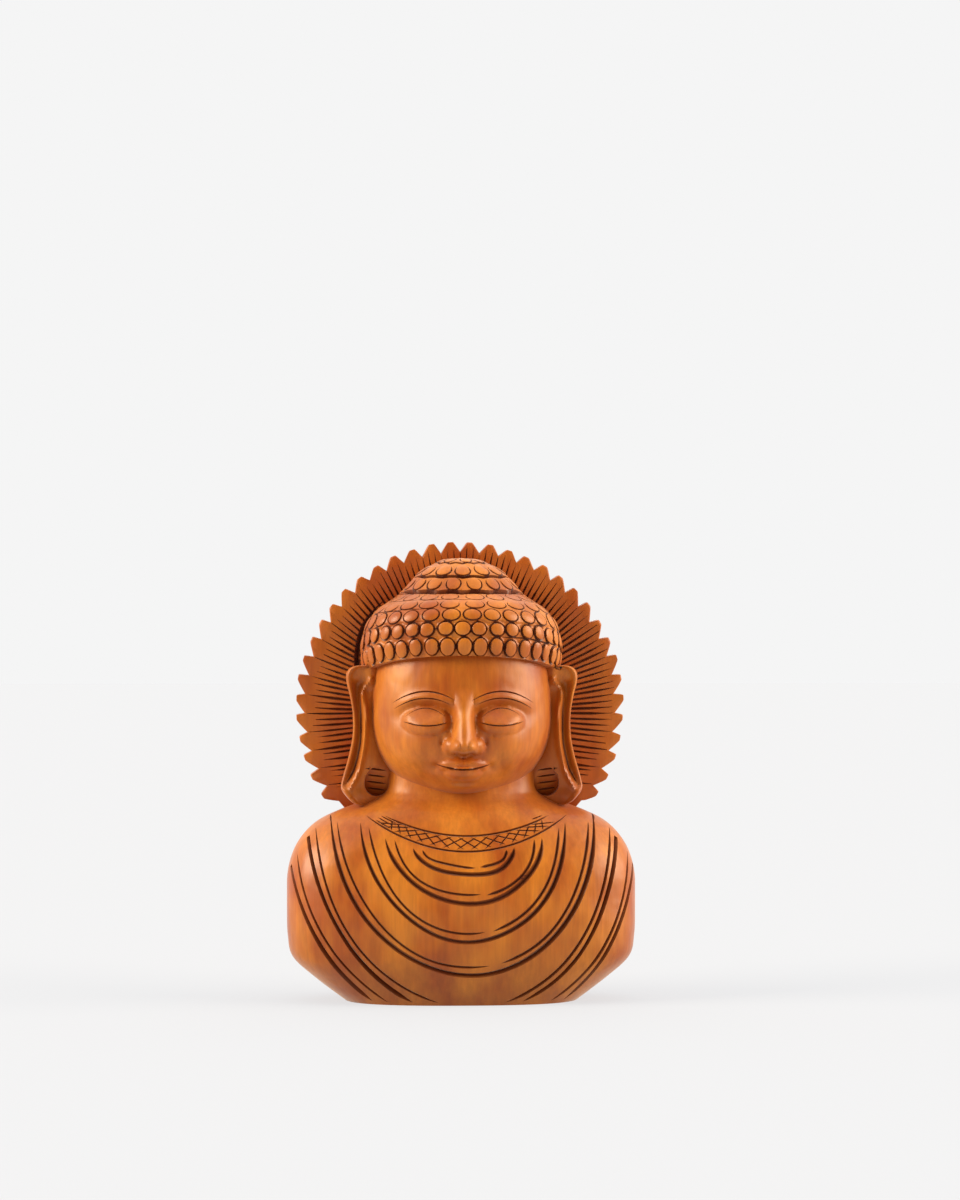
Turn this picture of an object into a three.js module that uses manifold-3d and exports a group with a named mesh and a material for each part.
// A wooden buddha bust with a rayed halo, carved from one block. Millimetres, Z up, the face looks along -Y,
// and the origin is the middle of the flat underside.
import * as THREE from "three";
import { mergeVertices } from "three/addons/utils/BufferGeometryUtils.js";
import Module from "manifold-3d";

const wasm = await Module();
wasm.setup();

const wholeDepth = 55; // of the block, from the nose to the back, which the torso and the head share

// Torso, cut off flat at the chest
const shoulderWidth = 114;
const shoulderHeight = 63.5;
const chestDepth = 0.48 * wholeDepth; // from the arms' middle plane forward
const backDepth = 0.391 * wholeDepth; // and backward
const footWidth = 76;
const footChestDepth = 21;
const footBackDepth = 17;

// Halo plate and its rays
const haloRadius = 54.5; // to the ray tips
const haloThickness = 7.5;
const haloFront = 7.5; // its front face lies this far behind the arms' middle plane
const haloRise = 95.3; // height of its centre
const rayCount = 36;
const rayPitch = THREE.MathUtils.degToRad(7.09);
const rayLength = 3.3; // from valley to tip
const rayTipWidth = 1.9;
const rayBend = THREE.MathUtils.degToRad(3); // by which a ray swings upwards on its way out
const rayLean = 0.22; // of a ray's pitch, by which its tip leans on upwards
const rayGrooves = 3; // in each ray's width, one of them in the valley
const rayGrooveWidth = 0.85;
const rayGrooveDepth = 0.7;
const rayGrooveStop = 1; // the grooves stop this far short of the valleys' circle
const rayGrooveRoot = 28.5; // and run in to this far from the halo's centre
const haloFootHalf = 36; // half the width of the foot that is sunk into the shoulders
const haloFootSink = 12.5; // its depth below the top of the shoulders
const haloMoatWidth = 1.5;
const haloMoatDepth = 2.5;

// Head, with its cap of curls and the tiered topknot
const faceWidth = 60;
const faceDepth = 0.4364 * wholeDepth; // from the head's middle plane forward
const headBackDepth = 12;
const headMiddle = -2; // the head's middle plane stands this far forward of the arms'
const chinHeight = 66;
const faceLength = 46.5; // from the chin to the hairline
const capWidth = 65.4;
const capOverFace = 1.9; // the curls stand proud of the forehead by this
const capHeight = 20; // from the hairline to the foot of the topknot
const hairlineDrop = 6.4; // from the forehead down to the temples
const topknotWidth = 40.6;
const topknotHeight = 11.6;

// The curls, carved as rows of round knobs
const curlRise = 0.6;
const curlGap = 0.16; // of a knob's pitch, between two of them
const bandOverlap = 2; // by which a band of curls reaches down into the one below it

// Ears
const earReach = 39.4; // from the middle to the flared lobes
const earFront = -8.5;
const earSlitWidth = 2.4;
const earSlitDepth = 2.4;
const pocketWidth = 8.2; // the hollow between a lobe and the neck
const pocketHeight = 10.4;
const pocketBack = 5; // it stops this far in front of the halo's face

// Tool cuts in the face and the robe
const toolLift = 1.2; // by which the tool's wedge stands out of the wood that it cuts
const faceLineWidth = 0.65;
const faceLineDepth = 0.45;
const foldWidth = 1.25;
const foldDepth = 0.9;
const foldStops = 11; // of the tool, on its way along a whole fold
const collarHeight = 5; // of the band at the neck, at its middle
const collarWidth = 66;
const collarSink = 3.2; // from the shoulders' height down to the band's ends
const collarDrop = 6.3; // and from there down to the middle of its upper edge
const collarLineWidth = 0.7;
const collarLineDepth = 0.5;

// A closed geometry as a solid, with its faces turned outwards.
function solid(geometry) {
  const bare = geometry.clone();
  for (const name of Object.keys(bare.attributes)) {
    if (name !== "position") bare.deleteAttribute(name);
  }
  const merged = mergeVertices(bare, 1e-4);
  const vertProperties = new Float32Array(merged.attributes.position.array);
  const corners = Array.from(merged.index.array);
  const triVerts = [];
  for (let i = 0; i < corners.length; i += 3) {
    const [a, b, c] = corners.slice(i, i + 3);
    if (a !== b && b !== c && c !== a) triVerts.push(a, b, c);
  }
  const build = (faces) =>
    new wasm.Manifold(new wasm.Mesh({ numProp: 3, vertProperties, triVerts: new Uint32Array(faces) }));
  const made = build(triVerts);
  return made.volume() > 0 ? made : build(triVerts.reverse());
}

// A solid as a geometry again.
function geometryOf(made) {
  const mesh = made.getMesh();
  const position = new Float32Array(mesh.numVert * 3);
  for (let i = 0; i < mesh.numVert; i++) {
    position.set(mesh.vertProperties.subarray(i * mesh.numProp, i * mesh.numProp + 3), i * 3);
  }
  const geometry = new THREE.BufferGeometry();
  geometry.setAttribute("position", new THREE.BufferAttribute(position, 3));
  geometry.setIndex(new THREE.BufferAttribute(new Uint32Array(mesh.triVerts), 1));
  geometry.computeVertexNormals();
  return geometry;
}

// Moves each vertex of a geometry to the place that a function gives for it.
function reshape(geometry, place) {
  const position = geometry.attributes.position;
  const corner = new THREE.Vector3();
  for (let i = 0; i < position.count; i++) {
    corner.fromBufferAttribute(position, i);
    place(corner);
    position.setXYZ(i, corner.x, corner.y, corner.z);
  }
  return geometry;
}

const join = wasm.Manifold.union;
const lerp = THREE.MathUtils.lerp;
const smooth = THREE.MathUtils.smoothstep;
const powered = (value, exponent) => Math.sign(value) * Math.abs(value) ** exponent;

// A soft hill of height 1 in the front view, and a round one with an edge.
const hill = (x, z, cx, cz, rx, rz) => Math.exp(-(((x - cx) / rx) ** 2) - ((z - cz) / rz) ** 2);
const dome = (x, z, cx, cz, rx, rz) =>
  Math.sqrt(Math.max(0, 1 - ((x - cx) / rx) ** 2 - ((z - cz) / rz) ** 2));

// Where a straight look from the front meets a surface, and its normal there. Nothing where the surface is
// seen too nearly edge-on to be cut from the front.
function facing(mesh, x, z) {
  const before = -3 * chestDepth;
  const ray = new THREE.Raycaster(new THREE.Vector3(x, before, z), new THREE.Vector3(0, 1, 0));
  const [hit] = ray.intersectObject(mesh);
  const edgeOn = -0.22;
  return hit && hit.normal.y < edgeOn ? { point: hit.point, normal: hit.normal.normalize() } : null;
}

// The wedge that a V tool takes out along a path. Each stop on the path has its point, the surface's normal
// there and the share of the full depth that the tool has reached.
function gouge(path, width, depth) {
  const lift = toolLift;
  const slope = width / 2 / depth;
  const corners = [];
  path.forEach(({ point, normal, share }, i) => {
    const before = path[Math.max(0, i - 1)].point;
    const after = path[Math.min(path.length - 1, i + 1)].point;
    const side = new THREE.Vector3().subVectors(after, before).cross(normal).normalize();
    const cut = share * depth;
    const spread = (cut + lift) * slope;
    const top = point.clone().addScaledVector(normal, lift);
    corners.push(top.clone().addScaledVector(side, -spread), top.clone().addScaledVector(side, spread));
    corners.push(point.clone().addScaledVector(normal, -cut));
  });
  const faces = [0, 1, 2];
  for (let i = 0; i + 1 < path.length; i++) {
    for (let j = 0; j < 3; j++) {
      const [a, b] = [3 * i + j, 3 * i + ((j + 1) % 3)];
      faces.push(a, a + 3, b, b, a + 3, b + 3);
    }
  }
  const last = 3 * (path.length - 1);
  faces.push(last, last + 2, last + 1);
  return solid(new THREE.BufferGeometry().setFromPoints(corners).setIndex(faces));
}

// A gouge along a line drawn in the front view, laid on a surface. The line gives [x, z] for 0 to 1, and the
// tool sinks in and rises out over a part of the run at each end.
function gougeOn(mesh, line, steps, width, depth, taper = 0.3) {
  const path = [];
  for (let i = 0; i <= steps; i++) {
    const run = i / steps;
    const [x, z] = line(run);
    const found = facing(mesh, x, z);
    if (found) path.push({ ...found, share: Math.min(1, run / taper, (1 - run) / taper) });
  }
  return path.length > 2 ? [gouge(path, width, depth)] : [];
}

// Torso and neck: level rings whose height, width and depth are shares of the torso's own sizes.
function torso() {
  const rows = [
    [0, footWidth / shoulderWidth, 0.8],
    [0.11, 0.83, 0.89],
    [0.22, 0.965, 0.965],
    [0.33, 0.995, 0.99],
    [0.47, 1, 1],
    [0.64, 0.998, 0.975],
    [0.76, 0.965, 0.91],
    [0.85, 0.905, 0.83],
    [0.92, 0.82, 0.755],
    [0.973, 0.7, 0.685],
    [1.01, 0.585, 0.62],
    [1.045, 0.49, 0.575],
    [1.1, 0.44, 0.55],
    [1.26, 0.42, 0.54],
  ];
  const curve = new THREE.CatmullRomCurve3(rows.map((row) => new THREE.Vector3(row[1], row[0], row[2])));
  const levels = curve.getPoints(14);
  const profile = levels.map((_, i) => new THREE.Vector2(1, i));
  const last = levels.length - 1;
  const closed = [new THREE.Vector2(0, 0), ...profile, new THREE.Vector2(0, last)];
  const skin = new THREE.LatheGeometry(closed, 24).rotateX(Math.PI / 2);
  return reshape(skin, (v) => {
    const level = levels[Math.round(v.z)];
    const fullness = lerp(2.6, 2.1, smooth(level.y, 0.7, 1.1));
    const front = level.y > 0 ? chestDepth * level.z : footChestDepth;
    const back = level.y > 0 ? backDepth * level.z : footBackDepth;
    v.x = powered(v.x, 2 / fullness) * (shoulderWidth / 2) * Math.min(1, level.x);
    v.y = powered(v.y, 2 / fullness) * (v.y < 0 ? front : back);
    v.z = level.y * shoulderHeight;
  });
}

// A point of the halo's face at a radius, where a ray's line bends upwards as it runs out.
function onHalo(angle, radius) {
  const run = radius / haloRadius;
  const bend = rayBend * Math.cos(angle) * (run * run - 1);
  return new THREE.Vector2(Math.cos(angle + bend), Math.sin(angle + bend)).multiplyScalar(radius);
}

const rayAngle = (i) => Math.PI / 2 + (i - (rayCount - 1) / 2) * rayPitch;

// Halo: a plate with pointed rays along its edge, whose foot is sunk into the shoulders.
function halo() {
  const valley = haloRadius - rayLength;
  const outline = [];
  for (let i = 0; i < rayCount; i++) {
    const angle = rayAngle(i);
    const lean = rayLean * rayPitch * Math.cos(angle);
    const half = rayTipWidth / 2 / haloRadius;
    outline.push(onHalo(angle - rayPitch / 2, valley));
    outline.push(onHalo(angle + lean - half, haloRadius), onHalo(angle + lean + half, haloRadius));
  }
  outline.push(onHalo(rayAngle(rayCount - 1) + rayPitch / 2, valley));
  const sunk = shoulderHeight - haloFootSink - haloRise;
  outline.push(new THREE.Vector2(-haloFootHalf, sunk), new THREE.Vector2(haloFootHalf, sunk));
  const plate = new THREE.ExtrudeGeometry(new THREE.Shape(outline), {
    depth: haloThickness,
    bevelEnabled: false,
  });
  return plate.rotateX(Math.PI / 2).translate(0, haloFront + haloThickness, haloRise);
}

// The cuts along the rays, from the edge in to the head.
function rayCuts() {
  const cuts = [];
  for (let i = 0; i <= (rayCount - 1) * rayGrooves; i++) {
    const angle = rayAngle(0) + ((i / rayGrooves) * rayPitch);
    const outer = haloRadius - rayLength - rayGrooveStop;
    const path = [0, 1].map((share) => {
      const place = onHalo(angle, lerp(outer, rayGrooveRoot, share));
      const point = new THREE.Vector3(place.x, haloFront, haloRise + place.y);
      return { point, normal: new THREE.Vector3(0, -1, 0), share };
    });
    if (path[0].point.z > shoulderHeight) cuts.push(gouge(path, rayGrooveWidth, rayGrooveDepth));
  }
  return cuts;
}

// The moat that parts the halo's face from the curls, on the figure's right.
function haloMoat() {
  const ring = new THREE.Shape();
  const outer = capWidth / 2 + haloMoatWidth;
  const inner = topknotWidth / 2;
  const [from, to] = [0.7 * Math.PI, 1.08 * Math.PI];
  ring.absellipse(0, 0, outer, outer, from, to);
  ring.absellipse(0, 0, inner, inner, to, from, true);
  const depth = 2 * haloMoatDepth;
  const cutter = new THREE.ExtrudeGeometry(ring, { depth, bevelEnabled: false, curveSegments: 12 });
  return cutter.rotateX(Math.PI / 2).translate(0, haloFront + haloMoatDepth, chinHeight + faceLength);
}

// The canon of the face: hairline, brow, nose and chin a third of it apart, and the face five eyes wide. A
// part is its smallest measure, a twelfth of an eye.
const third = faceLength / 3;
const part = faceWidth / 5 / 12;
const noseRise = chinHeight + third;
const hairline = chinHeight + faceLength;
const capFoot = hairline - hairlineDrop;
const capTop = hairline + capHeight;

// A brow's and a closed lid's height above the foot of the nose, by the place across the face, in parts.
const browLine = (across) => 17.7 - 0.034 * (across - 12) ** 2;
const lidLine = (across) => 8.6 + 0.024 * (across - 12) ** 2;

// Where the face's lines and cheeks lie across the face, in parts too.
const browStart = 2;
const browEnd = 22.6;
const lidStart = 5;
const lidEnd = 19.4;
const lipsHalf = 9;
const cheekAcross = 15;
const cheekWidth = 9;
const cheekHeight = 7.5;

// How far the features stand out of the plain egg of the head.
function faceRelief(x, z) {
  const across = Math.abs(x) / part;
  const up = (z - noseRise) / part;
  const soft = (cx, cz, rx, rz) => hill(across, up, cx, cz, rx, rz);
  const round = (cx, cz, rx, rz) => dome(across, up, cx, cz, rx, rz);
  const down = THREE.MathUtils.clamp((16.5 - up) / 14.3, 0, 1);
  const noseHalf = lerp(3.1, 4.5, down ** 2);
  const noseSide = Math.max(0, 1 - (across / noseHalf) ** 1.9) ** 0.8;
  const noseFoot = smooth(up, -0.8, 1.1);
  const brow = Math.exp(-(((up - browLine(across)) / 1.9) ** 2));
  let out = lerp(1.5, 7.4, down ** 1.25) * noseSide * noseFoot * smooth(-up, -21.5, -15.5);
  out += 1.1 * soft(0, 7, 7.5, 9);
  out += 2.9 * round(4.3, 2, 2.5, 2.6);
  out -= 2.6 * soft(10.8, 12.7, 7.9, 3.6);
  out += 1.35 * brow * smooth(across, 1, 4) * smooth(-across, -24, -17);
  out += 3.5 * round(12, 10.2, 7.6, 4.3);
  out += 2.3 * soft(cheekAcross, 0.5, cheekWidth, cheekHeight);
  out += 2.3 * soft(0, -5.7, 8.4, 4.6);
  out += 1.5 * round(2.3, -3.9, 6, 1.9);
  out += 2 * round(0, -6.9, 6, 2.3);
  out += 3.6 * soft(0, -11.2, 8.4, 3.9);
  return out * part;
}

// Head: an egg, full at the jaw and fuller under the hair, with the features raised on its front. Its columns
// crowd together at the middle of the face.
function head() {
  const columns = 32;
  const rows = 24;
  const crowding = 0.72;
  const middle = chinHeight + 0.58 * faceLength;
  const levels = Array.from({ length: rows }, (_, i) => new THREE.Vector2(1, i));
  const closed = [new THREE.Vector2(0, -1), ...levels, new THREE.Vector2(0, rows)];
  const skin = new THREE.LatheGeometry(closed, columns).rotateX(Math.PI / 2);
  return reshape(skin, (v) => {
    const pole = Math.hypot(v.x, v.y) < 0.5;
    const around = Math.atan2(v.x, -v.y);
    const turn = around - crowding * Math.sin(around);
    const rise = chinHeight + faceLength * THREE.MathUtils.clamp((v.z + 0.3) / (rows - 1), 0, 1.04);
    const height = (rise - middle) / (rise < middle ? middle - chinHeight : capTop - middle);
    const level = pole ? 0 : Math.sqrt(Math.max(0, 1 - height * height)) ** (height < 0 ? 0.82 : 0.6);
    const depth = Math.abs(turn) < Math.PI / 2 ? faceDepth : headBackDepth;
    v.x = level * Math.sin(turn) * (faceWidth / 2);
    v.y = headMiddle - level * Math.cos(turn) * depth;
    v.z = rise;
    if (!pole) v.y -= faceRelief(v.x, v.z) * smooth(Math.cos(turn), 0.05, 0.35);
  });
}

// The cap's half width at equal steps from the temples up to the topknot, in shares of the widest.
const capShares = [0.97, 0.997, 0.995, 0.955, 0.835, topknotWidth / capWidth];
const capCurve = new THREE.SplineCurve(capShares.map((share) => new THREE.Vector2(share, 0)));

// A point of the cap, by its run up the outline and its angle from straight ahead. All of it reaches back
// into the halo.
function onCap(run, angle) {
  const share = capCurve.getPoint(run).x;
  const depth = Math.cos(angle) > 0 ? share * (faceDepth + capOverFace) : headBackDepth;
  const lift = hairlineDrop * Math.max(0, Math.cos(angle)) ** 0.8 * (1 - run ** 2.2);
  return new THREE.Vector3(
    share * (capWidth / 2) * Math.sin(angle),
    headMiddle - depth * Math.cos(angle),
    lerp(capFoot, capTop, run) + lift,
  );
}

// A point of the topknot's dome in the same terms.
function onTopknot(run, angle) {
  const rise = Math.sin((run * Math.PI) / 2);
  const reach = Math.cos((run * Math.PI) / 2) ** 0.8;
  const squash = (faceDepth + capOverFace) / (capWidth / 2);
  const front = (topknotWidth / 2) * reach * squash;
  const depth = Math.cos(angle) > 0 ? front : headBackDepth * Math.min(1, 2 * reach);
  return new THREE.Vector3(
    (topknotWidth / 2) * reach * Math.sin(angle),
    headMiddle - depth * Math.cos(angle),
    capTop + topknotHeight * rise,
  );
}

// Rows of curls as a closed band of a surface given by run and angle, a row between each two stops: the knobs
// stand up in front, from ear to ear, and the band is plain behind.
function curlBand(onSurface, rowEnds, count) {
  const earToEar = Math.PI * 1.06;
  const behind = 3;
  const columns = 3 * count + behind;
  const rows = 3 * (rowEnds.length - 1);
  const profile = Array.from({ length: rows + 1 }, (_, row) => new THREE.Vector2(1, row));
  const closed = [new THREE.Vector2(0, -1), ...profile, new THREE.Vector2(0, rows + 1)];
  const band = new THREE.LatheGeometry(closed, columns).rotateX(Math.PI / 2);
  const within = [0, curlGap, 1 - curlGap];
  const foot = onSurface(rowEnds[0], Math.PI / 2).z - bandOverlap;
  const top = onSurface(rowEnds[rowEnds.length - 1], Math.PI / 2).z;
  return reshape(band, (v) => {
    if (Math.hypot(v.x, v.y) < 0.5) {
      v.set(0, headMiddle, v.z < 0 ? foot : top);
      return;
    }
    const column = Math.round((Math.atan2(v.x, -v.y) / (2 * Math.PI)) * columns + columns) % columns;
    const row = Math.round(v.z);
    const inFront = column <= 3 * count;
    const cell = Math.floor(column / 3) + within[column % 3];
    const angle = inFront
      ? (cell / count - 0.5) * earToEar
      : earToEar / 2 + ((column - 3 * count) / behind) * (2 * Math.PI - earToEar);
    const from = rowEnds[Math.floor(row / 3)];
    const to = rowEnds[Math.min(rowEnds.length - 1, Math.floor(row / 3) + 1)];
    const run = lerp(from, to, within[row % 3]);
    const raised = inFront && column % 3 !== 0 && row % 3 !== 0;
    v.copy(onSurface(run, angle)).addScaledVector(outward(onSurface, run, angle), raised ? curlRise : 0);
  });
}

// The direction straight out of such a surface.
function outward(onSurface, run, angle) {
  const step = 0.01;
  const up = onSurface(Math.min(1, run + step), angle).sub(onSurface(Math.max(0, run - step), angle));
  const across = onSurface(run, angle + step).sub(onSurface(run, angle - step));
  return across.cross(up).normalize();
}

// The cap's rows of curls, from the hairline up, and the topknot's three tiers.
function curls() {
  const bands = [
    [onCap, [0, 0.25, 0.475], 17],
    [onCap, [0.475, 0.685, 0.855, 1], 11],
    [onTopknot, [0, 0.4], 8],
    [onTopknot, [0.4, 0.72], 6],
    [onTopknot, [0.72, 1], 4],
  ];
  return bands.map(([onSurface, rowEnds, count]) => solid(curlBand(onSurface, rowEnds, count)));
}

// An ear, on the side that sign gives: a long flap that flares to its lobe and tapers back to the halo.
function ear(sign) {
  const share = (x, z) => new THREE.Vector2(x * earReach, chinHeight + z * faceLength);
  const edge = new THREE.SplineCurve([
    share(0.8, 0.93),
    share(0.93, 0.9),
    share(0.955, 0.84),
    share(0.93, 0.7),
    share(0.905, 0.5),
    share(0.93, 0.3),
    share(0.985, 0.12),
    share(1, 0.05),
    share(0.94, -0.04),
    share(0.87, -0.07),
  ]);
  const inner = [share(0.82, 0), share(0.8, 0.16), share(0.66, 0.3), share(0.66, 0.93)];
  const outline = [...edge.getPoints(12), ...inner];
  const back = haloFront + 2 * rayGrooveDepth;
  const depth = back - earFront;
  const flap = new THREE.ExtrudeGeometry(new THREE.Shape(outline), { depth, bevelEnabled: false });
  flap.rotateX(Math.PI / 2).translate(0, back, 0);
  return reshape(flap, (v) => {
    const root = 0.66 * earReach;
    const backward = (v.y - earFront) / depth;
    v.x = sign * (root + (v.x - root) * (1 - 0.3 * backward));
  });
}

// The long slit down an ear and the hollow at its top.
function earCuts(mesh, sign) {
  const slit = (t) => {
    const x = lerp(0.9, 0.865, t) + 0.105 * smooth(t, 0.5, 1);
    return [sign * x * earReach, chinHeight + lerp(0.84, 0.1, t) * faceLength];
  };
  const hollow = (t) => [sign * lerp(0.87, 0.8, t) * earReach, chinHeight + lerp(0.88, 0.62, t) * faceLength];
  return [
    ...gougeOn(mesh, slit, 10, earSlitWidth, earSlitDepth, 0.3),
    ...gougeOn(mesh, hollow, 4, earSlitWidth * 1.6, earSlitDepth * 1.3, 0.5),
  ];
}

// The hollow between a lobe and the neck, down to the halo's face.
function pocket(sign) {
  const mouth = new THREE.Shape();
  mouth.absellipse(0, 0, pocketWidth / 2, pocketHeight / 2, 0, 2 * Math.PI);
  const depth = chestDepth + haloFront;
  const bore = new THREE.ExtrudeGeometry(mouth, { depth, bevelEnabled: false, curveSegments: 6 });
  const middle = 0.8 * earReach - pocketWidth / 2;
  const rise = chinHeight + 0.46 * pocketHeight;
  return bore.rotateX(Math.PI / 2).translate(sign * middle, haloFront - pocketBack, rise);
}

// The lines cut into the face: along each brow, under the lids and between the lips. Each is a span across
// the face, in parts, and the height of the line above the foot of the nose.
function faceCuts(mesh) {
  const line = (from, to, height) => (t) => {
    const across = lerp(from, to, t);
    return [across * part, noseRise + height(Math.abs(across)) * part];
  };
  const brow = (across) => browLine(across) + 1.9;
  const lips = (across) => -5.2 + 0.018 * across * across - 0.3 * Math.cos(across / 5);
  const cuts = [-1, 1].flatMap((sign) => [
    ...gougeOn(mesh, line(browStart * sign, browEnd * sign, brow), 8, faceLineWidth, faceLineDepth),
    ...gougeOn(mesh, line(lidStart * sign, lidEnd * sign, lidLine), 5, faceLineWidth, faceLineDepth),
  ]);
  const mouth = line(-lipsHalf, lipsHalf, lips);
  return [...cuts, ...gougeOn(mesh, mouth, 8, 1.4 * faceLineWidth, 1.4 * faceLineDepth)];
}

// One deep fold of the robe hangs in a half ellipse from shoulder to shoulder: [half width, top, bottom].
const folds = [
  [0.28, 0.8, 0.665],
  [0.44, 0.86, 0.525],
  [0.583, 0.93, 0.33],
  [0.755, 0.945, 0.16],
  [0.9, 0.91, -0.05],
  [0.985, 0.77, -0.15],
];

function foldLine([width, top, bottom]) {
  return (t) => {
    const turn = lerp(0.02, 0.98, t) * Math.PI;
    const x = -Math.cos(turn) * width * (shoulderWidth / 2);
    const z = (top - Math.sin(turn) * (top - bottom)) * shoulderHeight;
    return [x + 0.02 * shoulderWidth * Math.sin(turn), z];
  };
}

// A fold that would run out under the foot is cut as two, one on each side.
function robeCuts(mesh) {
  const samples = 24;
  return folds.flatMap((fold) => {
    const line = foldLine(fold);
    const clear = [];
    for (let i = 0; i <= samples; i++) {
      if (line(i / samples)[1] > foldDepth) clear.push(i / samples);
    }
    return splitRuns(clear, 1 / samples).flatMap(([start, end]) => {
      const steps = Math.round((end - start) * foldStops);
      return gougeOn(mesh, (t) => line(lerp(start, end, t)), steps, foldWidth, foldDepth, 0.18);
    });
  });
}

// Neighbouring samples, a step apart, gathered into [first, last] runs.
function splitRuns(samples, step) {
  const runs = [];
  for (const value of samples) {
    const last = runs[runs.length - 1];
    if (last && value - last[1] < 1.5 * step) last[1] = value;
    else runs.push([value, value]);
  }
  return runs.filter(([start, end]) => end > start);
}

// The band at the neck: two fine arcs that meet at the shoulders.
function collarCuts(mesh) {
  const arc = (height) => (t) => {
    const turn = lerp(-1, 1, t);
    const drop = (collarDrop + height) * (1 - turn * turn);
    return [(collarWidth / 2) * turn, shoulderHeight - collarSink - drop];
  };
  return [0, collarHeight].flatMap((height) =>
    gougeOn(mesh, arc(height), 10, collarLineWidth, collarLineDepth, 0.1),
  );
}

// The main body, without the crumbs that crossing cuts leave loose.
function largest(made) {
  return made.decompose().reduce((kept, body) => (body.volume() > kept.volume() ? body : kept));
}

// A solid form less the cuts that a function lays on its surface.
function carved(form, cutsOn) {
  const surface = new THREE.Mesh(geometryOf(form));
  return form.subtract(join(cutsOn(surface)));
}

function carve() {
  const sides = [-1, 1];
  const plate = solid(halo()).subtract(join([...rayCuts(), solid(haloMoat())]));
  const robe = carved(solid(torso()), (surface) => [...robeCuts(surface), ...collarCuts(surface)]);
  const face = carved(solid(head()), faceCuts);
  const ears = sides.map((sign) => carved(solid(ear(sign)), (surface) => earCuts(surface, sign)));
  const pockets = sides.map((sign) => solid(pocket(sign)));
  const figure = join([robe, face, ...ears]).subtract(join(pockets));
  return largest(join([figure, plate, ...curls()]));
}

const wood = new THREE.MeshStandardMaterial({ color: 0xb8722f, roughness: 0.5, metalness: 0 });
const bust = new THREE.Mesh(geometryOf(carve()), wood);
bust.name = "buddha_bust";
const group = new THREE.Group();
group.add(bust);

export default group;
